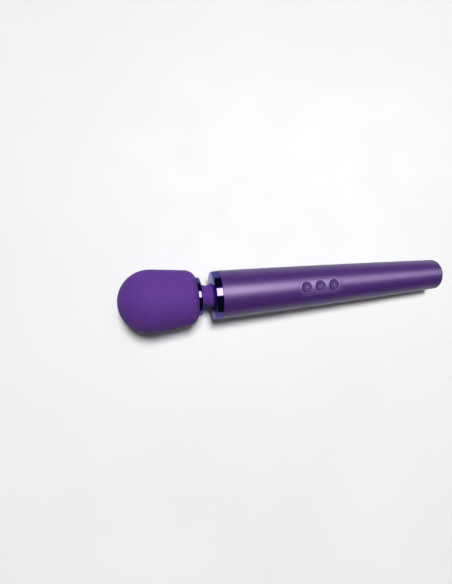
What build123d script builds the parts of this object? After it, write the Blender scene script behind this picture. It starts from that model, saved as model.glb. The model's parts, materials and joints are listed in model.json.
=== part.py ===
from build123d import *
import math
import os

# A cordless wand massager, in millimetres. It is drawn lying along X, with the tip of the head at
# the origin, the tail at +X and the buttons facing +Z. The last section lays it down on a flat
# surface, on its head and its tail edge, with the origin under the middle of the whole object.

# ---- driving dimensions -------------------------------------------------------------------------
LENGTH = 336.0
HEAD_RADIUS = 30.0
HEAD_TAPER = 5.9  # degrees, from the widest place back to the shoulder
COVER_WALL = 4.0  # soft silicone over the hard core
CORE_WALL = 2.8
NECK_PIVOT_X = 82.5  # the middle of the flexible neck
HANDLE_START_X = 96.5
HANDLE_START_RADIUS = 23.6
TAPER_CROWN_X = -298.4  # the handle's outline is a long parabola whose crown is here
TAPER_CROWN_RADIUS = 15410.0  # the parabola's radius of curvature at its crown
SHELL_WALL = 2.2
SHELL_END_X = 330.0
TAIL_ROUND = 3.0
PANEL_X = 193.9
PANEL_SIZE = (43.6, 13.1)
RECESS_SIZE = (46.8, 16.0)
RECESS_DEPTH = 0.7
BUTTON_PITCH = 14.5
BUTTON_X = {"plus": PANEL_X - BUTTON_PITCH, "pattern": PANEL_X, "minus": PANEL_X + BUTTON_PITCH}
BUTTON_RADIUS = 5.1
BUTTON_TRAVEL = 0.5
FLANGE = 0.9  # each button has a wider foot that keeps it behind the panel
SHAFT_RADIUS = 1.5875
CELL_RADIUS = 9.15
CELL_LENGTH = 65.0
CELL_AXIS_Z = -5.8  # the cells hang below the middle, which keeps the buttons uppermost
BOARD_TOP_Z = 8.0
JACK_BORE_RADIUS = 1.3
JACK_BORE_DEPTH = 12.0

# ---- fits, as gaps on each side -----------------------------------------------------------------
RUNNING_GAP = 0.03
LOOSE_GAP = 0.1
KEY_GAP = 0.15
THREAD_GAP = 0.02


def handle_radius(x):
    """Outer radius of the handle at a place along it."""
    from_crown = (x - TAPER_CROWN_X) ** 2 - (HANDLE_START_X - TAPER_CROWN_X) ** 2
    return HANDLE_START_RADIUS - from_crown / (2 * TAPER_CROWN_RADIUS)


# ---- small shape helpers ------------------------------------------------------------------------
def lathe(points, rounds=None):
    """A turned solid: (x, radius) corners joined by straight lines, some corners rounded."""
    radii = [(rounds or {}).get(corner, 0) for corner in range(len(points))]
    outline = FilletPolyline(*points, radius=radii, close=True)
    return revolve(make_face(outline), Axis.X)


def ring(x0, x1, inner, outer):
    return lathe([(x0, inner), (x1, inner), (x1, outer), (x0, outer)])


def rod(x0, x1, radius, y=0.0, z=0.0):
    """A round bar parallel to X."""
    bar = Cylinder(radius, x1 - x0, rotation=(0, 90, 0), align=(Align.CENTER,) * 3)
    return Pos((x0 + x1) / 2, y, z) * bar


def post(x, y, z0, z1, radius):
    """A round bar parallel to Z."""
    return Pos(x, y, (z0 + z1) / 2) * Cylinder(radius, z1 - z0)


def block(x0, x1, y0, y1, z0, z1):
    middle = Pos((x0 + x1) / 2, (y0 + y1) / 2, (z0 + z1) / 2)
    return middle * Box(x1 - x0, y1 - y0, z1 - z0)


def stadium(size, z0, z1):
    """An upright prism with round ends, centred over the button panel."""
    outline = SlotOverall(size[0], size[1])
    return Pos(PANEL_X, 0, z0) * extrude(outline, z1 - z0)


def around(shape, angles):
    """Copies of a shape turned about the wand's axis."""
    return [Rot(angle, 0, 0) * shape for angle in angles]


def screw(radius, length, head_radius, head_height, sunk=False):
    """A cross-head screw: the head's underside is at z = 0 and the point looks down.

    A sunk head is a cone whose flat top is at z = 0 instead.
    """
    if sunk:
        head = Pos(0, 0, -head_height / 2) * Cone(radius, head_radius, head_height)
        top = 0.0
    else:
        head = Pos(0, 0, head_height / 2) * Cylinder(head_radius, head_height)
        head = fillet(head.edges().group_by(Axis.Z)[-1], head_height * 0.4)
        top = head_height
    shank = Pos(0, 0, -length / 2) * Cylinder(radius, length)
    shank = chamfer(shank.edges().group_by(Axis.Z)[0], radius * 0.4)
    slot = Box(head_radius * 1.1, head_radius * 0.25, head_height * 0.9)
    cross = Pos(0, 0, top) * (slot + Rot(0, 0, 90) * slot)
    return head + shank - cross


def facing(direction, x, y=0.0, z=0.0):
    """A place for a screw whose head looks along the given direction."""
    return Plane(origin=(x, y, z), z_dir=direction).location


def polar(radius, angle):
    """The y and z of a place at a radius and an angle about the wand's axis."""
    return radius * math.cos(math.radians(angle)), radius * math.sin(math.radians(angle))


def wire(points, radius, bends):
    """A round lead that follows straight runs joined by arcs."""
    path = FilletPolyline(*points, radius=bends)
    start = Plane(origin=points[0], z_dir=path % 0)
    return sweep(start * Circle(radius), path=path)


parts = {}

# ---- head: silicone cover, hard core and plated ring --------------------------------------------


def head_form(inset, shoulder_x, end):
    """The head's form set in by a wall: a dome, a slight taper, a round shoulder and a flat end."""
    slope = math.radians(HEAD_TAPER)
    radius = HEAD_RADIUS - inset
    half = radius * math.sqrt(0.5)
    side = (HEAD_RADIUS + radius * math.sin(slope), radius * math.cos(slope))
    edge = (shoulder_x, side[1] - (shoulder_x - side[0]) * math.tan(slope))
    outline = ThreePointArc((HEAD_RADIUS - radius, 0), (HEAD_RADIUS - half, half), side)
    outline += Line(side, edge)
    outline += TangentArc(edge, end, tangent=(math.cos(slope), -math.sin(slope)))
    outline += Polyline(end, (end[0], 0), (HEAD_RADIUS - radius, 0))
    return revolve(make_face(outline), Axis.X)


COVER_END = (74.3, 18.9)
CORE_END = (71.0, 17.4)
CAVITY_END = (66.5, 17.4)
head_outside = head_form(0, 64.5, COVER_END)
core_outside = head_form(COVER_WALL, 62.0, CORE_END)
core_cavity = head_form(COVER_WALL + CORE_WALL, 62.0, CAVITY_END)
rib_reach = head_form(COVER_WALL + 1.0, 62.0, CAVITY_END)

parts["head_cover"] = head_outside - core_outside - rod(CORE_END[0] - 1, 80, CORE_END[1])

SPLIT_X = 31.0
LAP_END_X = 35.0
LAP_RADIUS = 24.4
RIB_ANGLES = [30, 90, 150, 210, 270, 330]
PLATE_SCREW_ANGLES = RIB_ANGLES[0::2]
LAP_SCREW_ANGLES = RIB_ANGLES[1::2]
RIB_RADIUS = 19.85
PLATE_SCREW_RADIUS = 21.3
CLAMP_SCREW_RADIUS = 13.6
CLAMP_SCREW_ANGLES = [45, 135, 225, 315]

core = core_outside - core_cavity
lap = ring(SPLIT_X, LAP_END_X, LAP_RADIUS + LOOSE_GAP, HEAD_RADIUS)
front = core & rod(0, SPLIT_X, HEAD_RADIUS)
front += core_outside & lap
rear = core & rod(SPLIT_X, 80, HEAD_RADIUS)
rib = block(SPLIT_X, 58, RIB_RADIUS, HEAD_RADIUS, -3, 3)
for one in around(rib, RIB_ANGLES):
    rear += one & (rib_reach - rod(0, 80, RIB_RADIUS))
rear -= ring(SPLIT_X - 1, LAP_END_X + LOOSE_GAP, LAP_RADIUS, HEAD_RADIUS)
# a funnel through the rear wall for the motor leads, then the clamp's screw holes
rear -= lathe([(66, 0), (66, 10.5), (70, 5.2), (72, 5.2), (72, 0)])
for angle in CLAMP_SCREW_ANGLES:
    rear -= rod(67.4, 72, 1.0 + THREAD_GAP, *polar(CLAMP_SCREW_RADIUS, angle))
for angle in PLATE_SCREW_ANGLES:
    rear -= rod(SPLIT_X - 1, 38, 1.0 + THREAD_GAP, *polar(PLATE_SCREW_RADIUS, angle))

core_screw = screw(0.8, 4.2, 1.5, 0.9, sunk=True)
core_screws = []
for angle in LAP_SCREW_ANGLES:
    y, z = polar(1, angle)
    place = facing((0, y, z), 33.0, y * 25.3, z * 25.3)
    core_screws.append(place * core_screw)
    hole = place * Pos(0, 0, -1.75) * Cylinder(0.8 + THREAD_GAP, 5.0)
    sink = place * Pos(0, 0, 0.0) * Cone(1.5 - 0.7 + THREAD_GAP, 2.2 + THREAD_GAP, 1.8)
    front -= hole + sink
    rear -= hole
parts["core_screws"] = Compound(children=core_screws)
parts["head_core_front"] = front
parts["head_core_rear"] = rear

parts["head_ring"] = lathe(
    [(71.2, 15.8), (76.0, 15.8), (76.0, 12.2), (78.0, 12.2), (78.0, 18.9), (74.3, 18.9),
     (74.3, 17.4), (71.2, 17.4)],
    {3: 0.5, 4: 1.6, 5: 0.3},
)

clamp_front = lathe([(73.5, 11.7), (75.8, 11.7), (75.8, 15.6), (73.5, 15.6)], {1: 0.3, 2: 0.3})
clamp_screw = screw(1.0, 8.0, 1.8, 1.0, sunk=True)
clamp_screws = []
for angle in CLAMP_SCREW_ANGLES:
    y, z = polar(CLAMP_SCREW_RADIUS, angle)
    place = facing((1, 0, 0), 75.8, y, z)
    clamp_screws.append(place * clamp_screw)
    clamp_front -= rod(73, 76, 1.0 + THREAD_GAP, y, z)
    clamp_front -= place * Pos(0, 0, -0.5) * Cone(1.0 + THREAD_GAP, 1.8 + THREAD_GAP, 1.0)
parts["front_neck_clamp"] = clamp_front
parts["front_clamp_screws"] = Compound(children=clamp_screws)

# ---- head: motor --------------------------------------------------------------------------------
MOTOR_RADIUS = 18.0
MOTOR_START_X = 31.0
MOTOR_CAN_END_X = 60.0
MOTOR_WALL = 1.6
MOTOR_SCREW_RADIUS = 12.5
FRONT_WALL_X = MOTOR_START_X + 2.0
BUSH_RADIUS = 4.0
AIR_GAP = 0.6
MAGNET_RADIUS = 13.4

can = rod(MOTOR_START_X, MOTOR_CAN_END_X, MOTOR_RADIUS)
can = fillet(can.edges().group_by(Axis.X)[0], 1.2)
can -= rod(FRONT_WALL_X, 61, MOTOR_RADIUS - MOTOR_WALL)
can += rod(28.8, MOTOR_START_X + 0.5, 6.0)
can -= rod(28, 34, BUSH_RADIUS)
plate = ring(29.2, MOTOR_START_X, 6.2, 22.9)
motor_screw = screw(1.5, 3.8, 2.75, 1.8)
motor_screws = []
for angle in (0, 180):
    y, z = polar(MOTOR_SCREW_RADIUS, angle)
    motor_screws.append(facing((-1, 0, 0), 29.2, y, z) * motor_screw)
    can -= rod(30, 34, 1.5 + THREAD_GAP, y, z)
    plate -= rod(29, 32, 1.5 + THREAD_GAP, y, z)
plate_screw = screw(1.0, 8.0, 1.7, 0.9, sunk=True)
plate_screws = []
for angle in PLATE_SCREW_ANGLES:
    y, z = polar(PLATE_SCREW_RADIUS, angle)
    place = facing((-1, 0, 0), 29.2, y, z)
    plate_screws.append(place * plate_screw)
    plate -= rod(29, 32, 1.0 + THREAD_GAP, y, z)
    plate -= place * Pos(0, 0, -0.45) * Cone(1.0 + THREAD_GAP, 1.7 + THREAD_GAP, 0.9)
parts["motor_can"] = can
parts["motor_front_plate"] = plate
parts["motor_plate_screws"] = Compound(children=plate_screws)
parts["motor_screws"] = Compound(children=motor_screws)

parts["motor_mount_sleeve"] = lathe(
    [(34.5, MOTOR_RADIUS), (57.5, MOTOR_RADIUS), (57.5, 19.8), (34.5, 19.8)],
    {2: 0.5, 3: 0.5},
)

magnet = ring(35, 58, MAGNET_RADIUS, MOTOR_RADIUS - MOTOR_WALL)
magnet &= block(34, 59, 4.0, 20, -20, 20)
parts["motor_magnets"] = Compound(children=around(magnet, (0, 180)))

BELL_X = MOTOR_CAN_END_X
bell = lathe(
    [(58.4, 14.2), (58.4, 16.35), (BELL_X, 16.35), (BELL_X, MOTOR_RADIUS), (62.5, MOTOR_RADIUS),
     (62.5, 4.6), (65.0, 4.6), (65.0, 3.2), (60.6, 3.2), (BELL_X, 3.2), (BELL_X, 14.2)],
    {4: 0.8, 6: 0.4},
)
brush = block(57.3, 59.8, 5.05, 9.6, -1.5, 1.5)
holder = block(56.8, 60.2, 6.2, 11.2, -2.6, 2.6)
holder -= block(56.5, 59.85, 5.0, 9.65, -1.55, 1.55)
for one in around(holder, (0, 180)):
    bell += one
terminal = block(62.5, 66.0, 8.6, 11.0, -0.4, 0.4)
parts["motor_end_bell"] = bell
parts["motor_brushes"] = Compound(children=around(brush, (0, 180)))
parts["motor_terminals"] = Compound(children=around(terminal, (0, 180)))

bush_bore = SHAFT_RADIUS + RUNNING_GAP
parts["front_bushing"] = lathe(
    [(28.8, bush_bore), (33.0, bush_bore), (33.0, BUSH_RADIUS), (28.8, BUSH_RADIUS)], {2: 0.3}
)
parts["rear_bushing"] = ring(60.7, 65.0, bush_bore, 3.2)

# ---- rotor --------------------------------------------------------------------------------------
CORE_RADIUS = MAGNET_RADIUS - AIR_GAP
SLOT_ANGLES = [72 * n + 18 for n in range(5)]
SLOT_RADIUS = 2.5
SLOT_PLACE = 8.4
WEIGHT_RADIUS = 15.0
WEIGHT_START_X = 14.5
WEIGHT_END_X = 26.0
HUB_RADIUS = 5.6
SHAFT_BORE = SHAFT_RADIUS + 0.01

shaft = rod(13.5, 65.6, SHAFT_RADIUS)
parts["motor_shaft"] = chamfer(shaft.edges().filter_by(GeomType.CIRCLE), 0.3)

armature = ring(37, 55, SHAFT_BORE, CORE_RADIUS)
for angle in SLOT_ANGLES:
    armature -= rod(36, 56, SLOT_RADIUS, *polar(SLOT_PLACE, angle))
    armature -= Rot(angle, 0, 0) * block(36, 56, SLOT_PLACE, 14, -0.6, 0.6)
parts["armature_core"] = armature

coil_end = lathe([(33.9, 3.6), (36.95, 3.6), (36.95, 11.4), (33.9, 11.4)], {0: 1.2, 3: 1.2})
coils = coil_end + Pos(36.95 + 55.05, 0, 0) * Rot(0, 180, 0) * coil_end
coils -= rod(56.5, 60, 20)
for angle in SLOT_ANGLES:
    coils += rod(35, 56.2, SLOT_RADIUS - 0.2, *polar(SLOT_PLACE, angle))
parts["armature_windings"] = coils

commutator = ring(57.2, 59.9, SHAFT_BORE, 5.0)
for angle in SLOT_ANGLES:
    commutator -= Rot(angle, 0, 0) * block(57, 60, 3.9, 6, -0.2, 0.2)
parts["commutator"] = commutator

weight = ring(WEIGHT_START_X, WEIGHT_END_X, SHAFT_BORE, WEIGHT_RADIUS)
weight &= block(10, 30, -20, 20, -20, 0)
weight += ring(WEIGHT_START_X, WEIGHT_END_X, SHAFT_BORE, HUB_RADIUS)
SET_SCREW_X = 20.3
weight -= post(SET_SCREW_X, 0, 1.0, 8, 1.25 + THREAD_GAP)
parts["eccentric_weight"] = weight
set_screw = post(SET_SCREW_X, 0, SHAFT_RADIUS + 0.02, HUB_RADIUS - 0.3, 1.25)
hex_socket = Pos(SET_SCREW_X, 0, 4.4) * extrude(RegularPolygon(0.7, 6), 2)
parts["weight_set_screw"] = set_screw - hex_socket

# ---- neck ---------------------------------------------------------------------------------------
SLEEVE_BORE = 7.6
WAIST_RADIUS = 9.95
REAR_FLANGE_RADIUS = 14.6
sleeve_outline = Polyline(
    (91.05, 11.6), (91.05, REAR_FLANGE_RADIUS), (93.45, REAR_FLANGE_RADIUS),
    (93.45, SLEEVE_BORE), (71.05, SLEEVE_BORE), (71.05, 15.5), (73.45, 15.5), (73.45, 11.4),
    (79.9, 11.4),
)
sleeve_outline += ThreePointArc((79.9, 11.4), (NECK_PIVOT_X + 1, WAIST_RADIUS), (87.6, 11.6))
sleeve_outline += Line((87.6, 11.6), (91.05, 11.6))
sleeve = revolve(make_face(sleeve_outline), Axis.X)
for angle in CLAMP_SCREW_ANGLES:
    sleeve -= rod(71, 74, 1.2, *polar(CLAMP_SCREW_RADIUS, angle))
parts["neck_sleeve"] = sleeve

SPRING_WIRE = 0.75
SPRING_RADIUS = 6.3
coil = Helix(3.0, 20.7, SPRING_RADIUS, center=(71.9, 0, 0), direction=(1, 0, 0))
coil_start = Plane(origin=coil @ 0, z_dir=coil % 0)
parts["neck_spring"] = sweep(coil_start * Circle(SPRING_WIRE), path=coil, is_frenet=True)

LEAD_RADIUS = 0.8
leads = []
for side in (-1, 1):
    route = [
        (65.0, side * 10.6, side * 1.3), (67.2, side * 4.6, side * 1.1), (73, side * 1.3, 0),
        (95, side * 1.3, 0), (105, side * 1.5, 5.6), (138, side * 1.5, 6.2),
        (143.5, side * 1.3, 10), (146.9, side * 1.3, 10),
    ]
    leads.append(wire(route, LEAD_RADIUS, [2.0, 4.0, 12.0, 10.0, 4.0, 2.0]))
parts["motor_leads"] = Compound(children=leads)

# ---- handle: collar ring and rear neck clamp ----------------------------------------------------
SPIGOT_END_X = 104.0
COLLAR_SCREW_RADIUS = 17.0


def inside_radius(x, depth=SHELL_WALL):
    return handle_radius(x) - depth


collar = lathe(
    [(89.0, 12.2), (89.6, 23.2), (HANDLE_START_X, HANDLE_START_RADIUS),
     (HANDLE_START_X, inside_radius(HANDLE_START_X) - LOOSE_GAP),
     (SPIGOT_END_X, inside_radius(SPIGOT_END_X) - LOOSE_GAP), (SPIGOT_END_X, 19.6),
     (93.5, 19.6), (93.5, REAR_FLANGE_RADIUS + 0.3), (91.0, REAR_FLANGE_RADIUS + 0.3),
     (91.0, 12.2)],
    {0: 0.4, 1: 1.4, 2: 0.3},
)
clamp_rear = lathe([(93.5, 8.6), (97.0, 8.6), (97.0, 19.5), (93.5, 19.5)], {2: 0.5})
collar_screw = screw(1.25, 6.6, 2.1, 1.7)
collar_screws = []
for angle in CLAMP_SCREW_ANGLES:
    y, z = polar(COLLAR_SCREW_RADIUS, angle)
    clamp_rear -= rod(93, 98, 1.25 + THREAD_GAP, y, z)
parts["rear_neck_clamp"] = clamp_rear
for angle in CLAMP_SCREW_ANGLES:
    y, z = polar(COLLAR_SCREW_RADIUS, angle)
    collar_screws.append(facing((1, 0, 0), 97.0, y, z) * collar_screw)
    collar -= rod(90.2, 94, 1.25 + THREAD_GAP, y, z)
parts["collar_ring"] = collar
parts["rear_clamp_screws"] = Compound(children=collar_screws)

# ---- handle: shells -----------------------------------------------------------------------------


def taper_line(x0, x1, depth):
    """The handle's outline between two places, set in by a depth: exactly handle_radius."""
    ends = handle_radius(x0) - depth, handle_radius(x1) - depth
    middle = (x0 + x1) / 2
    pull = 2 * (handle_radius(middle) - depth) - (ends[0] + ends[1]) / 2
    return Bezier((x0, ends[0]), (middle, pull), (x1, ends[1]))


def band(depth0, depth1, x0, x1, angle0, angle1):
    """Part of the handle's wall, between two depths, two places along it and two angles."""
    outer = taper_line(x0, x1, depth0)
    inner = taper_line(x0, x1, depth1)
    outline = outer + inner + Line(outer @ 1, inner @ 1) + Line(inner @ 0, outer @ 0)
    return Rot(angle0, 0, 0) * revolve(make_face(outline), Axis.X, angle1 - angle0)


def both_sides(depth0, depth1, x0, x1, angle0, angle1):
    """Two equal bands, one on each side of the handle."""
    right = band(depth0, depth1, x0, x1, angle0, angle1)
    return right + band(depth0, depth1, x0, x1, 180 - angle1, 180 - angle0)


LEDGE_DEPTH = 3.8
PANEL_BOTTOM_DEPTH = 2.0
TONGUE = (0.65, 1.55)  # depths of its two faces below the outer surface
TONGUE_ANGLE = 3.0
HOOK_X = (112.0, 160.0, 210.0, 258.0, 308.0)
HOOK_ANGLE = 12.0
BARB_ANGLE = 9.0
RIB_X = (130.0, 165.0, 252.0, 286.0)
ROOT_DEPTH = SHELL_WALL - 0.5  # inner features start inside the wall, so that they are one piece


def over_panel(size, depth0, depth1):
    """Part of the handle's top wall inside an upright stadium over the button panel."""
    reach = size[0] / 2 + 1
    top = band(depth0, depth1, PANEL_X - reach, PANEL_X + reach, 50, 130)
    return top & stadium(size, 5, 30)


upper = band(0, SHELL_WALL, HANDLE_START_X, SHELL_END_X, 0, 180)
upper += both_sides(*TONGUE, 108, 326, -TONGUE_ANGLE, 0.5)
upper += over_panel([side + 3.5 for side in RECESS_SIZE], ROOT_DEPTH, LEDGE_DEPTH)
for x in RIB_X:
    upper += band(ROOT_DEPTH, SHELL_WALL + 1.4, x - 0.6, x + 0.6, 5, 175)
upper -= over_panel(RECESS_SIZE, -1, RECESS_DEPTH / 2)
upper -= over_panel([side + 2 * LOOSE_GAP for side in PANEL_SIZE], -1, PANEL_BOTTOM_DEPTH)
for x in BUTTON_X.values():
    upper -= post(x, 0, 5, 30, BUTTON_RADIUS + FLANGE + 0.4)
PEG_X = (PANEL_X - BUTTON_PITCH / 2, PANEL_X + BUTTON_PITCH / 2)
PEG_PLACES = [(x, y) for x in PEG_X for y in (-4.9, 4.9)]
PEG_RADIUS = 0.8
for x, y in PEG_PLACES:
    upper -= post(x, y, 5, 30, PEG_RADIUS + THREAD_GAP)

lower = band(0, SHELL_WALL, HANDLE_START_X, SHELL_END_X, -180, 0)
lower -= both_sides(TONGUE[0] - 0.07, TONGUE[1] + 0.07, 107.5, 326.5, -TONGUE_ANGLE - 0.4, 0.5)

# snap hooks hang from the upper shell inside the lower shell, and catch in pockets there
for x in HOOK_X:
    upper += both_sides(ROOT_DEPTH, SHELL_WALL + 1.3, x - 3, x + 3, 3, HOOK_ANGLE)
    upper += both_sides(SHELL_WALL + 0.15, SHELL_WALL + 1.3, x - 3, x + 3, -HOOK_ANGLE, 4)
    upper += both_sides(
        SHELL_WALL - 0.7, SHELL_WALL + 0.5, x - 3, x + 3, -HOOK_ANGLE, -BARB_ANGLE
    )
    lower -= both_sides(
        SHELL_WALL - 0.85, SHELL_WALL + 0.5, x - 3.3, x + 3.3, -HOOK_ANGLE - 1, -BARB_ANGLE + 0.6
    )

TRAY_EARS = [(118.0, 14.5, -6.0), (118.0, -14.5, -6.0), (247.5, 0.0, -9.5)]
EAR_THICKNESS = 1.6
EAR_HALF_WIDTH = 2.5
CHARGE_POSTS_X = (268.0, 298.0)
CHARGE_BOARD_TOP_Z = -4.0
CHARGE_BOARD_THICKNESS = 1.2
under = CHARGE_BOARD_TOP_Z - CHARGE_BOARD_THICKNESS
screw_posts = [(x, y, z - EAR_THICKNESS) for x, y, z in TRAY_EARS]
screw_posts += [(x, 0, under) for x in CHARGE_POSTS_X]
for x, y, top in screw_posts:
    foot = -math.sqrt((inside_radius(x) + 0.8) ** 2 - y**2)
    lower += post(x, y, foot, top, 2.3)
    lower -= post(x, y, top - 5.5, top + 1, 1.0 + THREAD_GAP)
parts["handle_upper_shell"] = upper
parts["handle_lower_shell"] = lower

# ---- handle: button panel and buttons -----------------------------------------------------------
panel = over_panel(PANEL_SIZE, RECESS_DEPTH, PANEL_BOTTOM_DEPTH)
for x in BUTTON_X.values():
    panel -= post(x, 0, 5, 30, BUTTON_RADIUS + KEY_GAP)
for x, y in PEG_PLACES:
    peg_top = math.sqrt((handle_radius(x) - PANEL_BOTTOM_DEPTH + 0.6) ** 2 - y**2)
    panel += post(x, y, peg_top - 2.2, peg_top, PEG_RADIUS)
parts["button_panel"] = panel

PLUNGER_TOP_Z = BOARD_TOP_Z + 4.5
BASE_TOP_Z = BOARD_TOP_Z + 3.5
PLUNGER_FOOT_Z = BASE_TOP_Z - 1.3
icon_depth = 0.25
icon_bar = Box(4.6, 0.9, 2 * icon_depth)
wave_points = [(1.15 * step, 1.3 * math.sin(step * math.pi / 2)) for step in range(-2, 3)]
wave = Spline(*wave_points)
icons = {
    "plus": icon_bar + Rot(0, 0, 90) * icon_bar,
    "pattern": Pos(0, 0, -icon_depth) * extrude(trace(wave, 0.8), 2 * icon_depth),
    "minus": Rot(0, 0, 90) * icon_bar,
}
switch_bases = []
for name, x in BUTTON_X.items():
    top = handle_radius(x) - 0.1
    cap = fillet(post(x, 0, top - 4.6, top, BUTTON_RADIUS).edges().group_by(Axis.Z)[-1], 0.7)
    flange = post(x, 0, top - 4.9, top - 3.9, BUTTON_RADIUS + FLANGE)
    stem = post(x, 0, PLUNGER_TOP_Z, top - 4.5, 2.0)
    parts[f"{name}_button"] = cap + flange + stem - Pos(x, 0, top) * icons[name]
    parts[f"{name}_switch_plunger"] = post(x, 0, PLUNGER_FOOT_Z, PLUNGER_TOP_Z, 1.75)
    base = block(x - 3, x + 3, -3, 3, BOARD_TOP_Z, BASE_TOP_Z)
    base = chamfer(base.edges().filter_by(Axis.Z), 0.4)
    well_floor = PLUNGER_FOOT_Z - BUTTON_TRAVEL - 0.2
    switch_bases.append(base - post(x, 0, well_floor, BASE_TOP_Z + 1, 1.9))
parts["switch_bases"] = Compound(children=switch_bases)

# ---- handle: battery tray and cells -------------------------------------------------------------
TRAY = (105.0, 243.0)
TRAY_HALF_WIDTH = 12.0
RAIL_TOP_Z = BOARD_TOP_Z - 1.6
CELL_START_X = 108.6
CELL_GAP = 1.0


def ear(x, y, z):
    """A screw ear with a root that reaches the tray: sideways, or forwards when y is 0."""
    if y:
        root = block(x - EAR_HALF_WIDTH, x + EAR_HALF_WIDTH, *sorted((y, y * 0.7)),
                     z - EAR_THICKNESS, z)
    else:
        root = block(x - 7, x, -EAR_HALF_WIDTH, EAR_HALF_WIDTH, z - EAR_THICKNESS, z)
    return root + post(x, y, z - EAR_THICKNESS, z, EAR_HALF_WIDTH + 0.7)


trough = rod(*TRAY, CELL_RADIUS + 1.4, z=CELL_AXIS_Z)
trough += block(*TRAY, -TRAY_HALF_WIDTH, TRAY_HALF_WIDTH, CELL_AXIS_Z, RAIL_TOP_Z)
trough -= rod(TRAY[0] + 1.5, TRAY[1] - 1.5, CELL_RADIUS + LOOSE_GAP, z=CELL_AXIS_Z)
hollow = CELL_RADIUS + LOOSE_GAP
trough -= block(TRAY[0] + 1.5, TRAY[1] - 1.5, -hollow, hollow, CELL_AXIS_Z, 20)
trough -= block(TRAY[0] - 1, TRAY[1] + 1, -hollow, hollow, 3.0, 20)
trough -= block(TRAY[0] - 1, 146, -20, 20, 3.0, 20)
for x in (128, 160, 192, 224):
    window = block(x - 8, x + 8, -20, 20, -3.6, 2.2)
    trough -= window
for place in TRAY_EARS:
    trough += ear(*place) - rod(TRAY[0] + 1.5, TRAY[1] - 1.5, hollow, z=CELL_AXIS_Z)
    trough -= Pos(*place) * Cylinder(1.0 + THREAD_GAP, 10)
BOARD_SCREW_PLACES = [(x, y) for x in (157.0, 238.0) for y in (-10.7, 10.7)]
for x, y in BOARD_SCREW_PLACES:
    trough -= post(x, y, RAIL_TOP_Z - 5, 10, 1.0 + THREAD_GAP)
parts["battery_tray"] = trough

small_screw = screw(1.0, 6.0, 1.8, 1.3)
parts["tray_screws"] = Compound(children=[Pos(*place) * small_screw for place in TRAY_EARS])

cells, cell_starts = [], (CELL_START_X, CELL_START_X + CELL_LENGTH + CELL_GAP)
for start in cell_starts:
    can_end = start + CELL_LENGTH - 1.0
    cell = lathe(
        [(start, 0), (start, CELL_RADIUS), (can_end, CELL_RADIUS), (can_end, 6.4),
         (can_end - 0.8, 6.4), (can_end - 0.8, 4.6), (can_end + 1.0, 4.6), (can_end + 1.0, 0)],
        {1: 0.6, 2: 0.6},
    )
    cells.append(Pos(0, 0, CELL_AXIS_Z) * cell)
parts["battery_cells"] = Compound(children=cells)

tabs = []
for x in (CELL_START_X - 0.3, CELL_START_X + CELL_LENGTH, cell_starts[1] + CELL_LENGTH):
    thickness = CELL_GAP if x == CELL_START_X + CELL_LENGTH else 0.3
    tabs.append(block(x, x + thickness, -3, 3, CELL_AXIS_Z - 3, CELL_AXIS_Z + 3))
parts["battery_tabs"] = Compound(children=tabs)

pads = []
for x in (152.0, 220.0):
    pad = block(x - 7, x + 7, -5, 5, 1, RAIL_TOP_Z)
    pads.append(pad - rod(100, 250, CELL_RADIUS + 0.02, z=CELL_AXIS_Z))
parts["foam_pads"] = Compound(children=pads)

# ---- handle: control board ----------------------------------------------------------------------
BOARD = (146.0, 242.0, 14.0)
board = block(BOARD[0], BOARD[1], -BOARD[2], BOARD[2], RAIL_TOP_Z, BOARD_TOP_Z)
board = fillet(board.edges().filter_by(Axis.Z), 2.0)
for x, y in BOARD_SCREW_PLACES:
    board -= post(x, y, 0, 20, 1.0 + THREAD_GAP)
parts["control_board"] = board
board_screws = [Pos(x, y, BOARD_TOP_Z) * small_screw for x, y in BOARD_SCREW_PLACES]
parts["board_screws"] = Compound(children=board_screws)


def connector(x0, x1, y0, y1):
    """A small wire-to-board socket, open on the end where the wires go in."""
    body = block(x0, x1, y0, y1, BOARD_TOP_Z, BOARD_TOP_Z + 4.4)
    return body - block(x0 + 1, x1 - 1, y0 + 0.8, y1 - 0.8, BOARD_TOP_Z + 3.2, BOARD_TOP_Z + 5)


sockets = [
    connector(147, 153, -3.4, 3.4),
    connector(147, 153, 4.4, 8.6),
    connector(233, 239, -3.4, 3.4),
    connector(233, 239, 4.4, 8.6),
]
parts["board_connectors"] = Compound(children=sockets)

CHIP_SIZES = [  # centre x, centre y, length, width, height
    (166, 0, 7, 7, 1.0), (166, 9, 5, 4, 1.5), (176, -8, 6.5, 5, 1.6), (176, 8, 6.5, 5, 1.6),
    (194, 8.5, 4, 3, 1.1), (194, -8.5, 4, 3, 1.1), (208, 8.5, 3, 1.6, 0.8),
    (208, -8.5, 3, 1.6, 0.8), (226, 0, 8, 8, 3.6), (226, 9, 3, 1.6, 0.8), (226, -9, 5, 4, 1.5),
]
chips = []
for x, y, length, width, height in CHIP_SIZES:
    top = BOARD_TOP_Z + height
    chip = block(x - length / 2, x + length / 2, y - width / 2, y + width / 2, BOARD_TOP_Z, top)
    chips.append(chamfer(chip.edges().group_by(Axis.Z)[-1], 0.15))
parts["control_chips"] = Compound(children=chips)

# ---- handle: charging jack, its board, and the wiring -------------------------------------------
JACK_FACE_X = LENGTH - 0.4
JACK_NOSE_RADIUS = 3.9
CHARGE_BOARD = (262.0, 318.0, 8.0)
charge_board = block(
    CHARGE_BOARD[0], CHARGE_BOARD[1], -CHARGE_BOARD[2], CHARGE_BOARD[2], under, CHARGE_BOARD_TOP_Z
)
charge_board = fillet(charge_board.edges().filter_by(Axis.Z), 1.5)
charge_screws = []
for x in CHARGE_POSTS_X:
    charge_board -= post(x, 0, -10, 0, 1.0 + THREAD_GAP)
    charge_screws.append(Pos(x, 0, CHARGE_BOARD_TOP_Z) * small_screw)
parts["charge_board"] = charge_board
parts["charge_board_screws"] = Compound(children=charge_screws)

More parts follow.
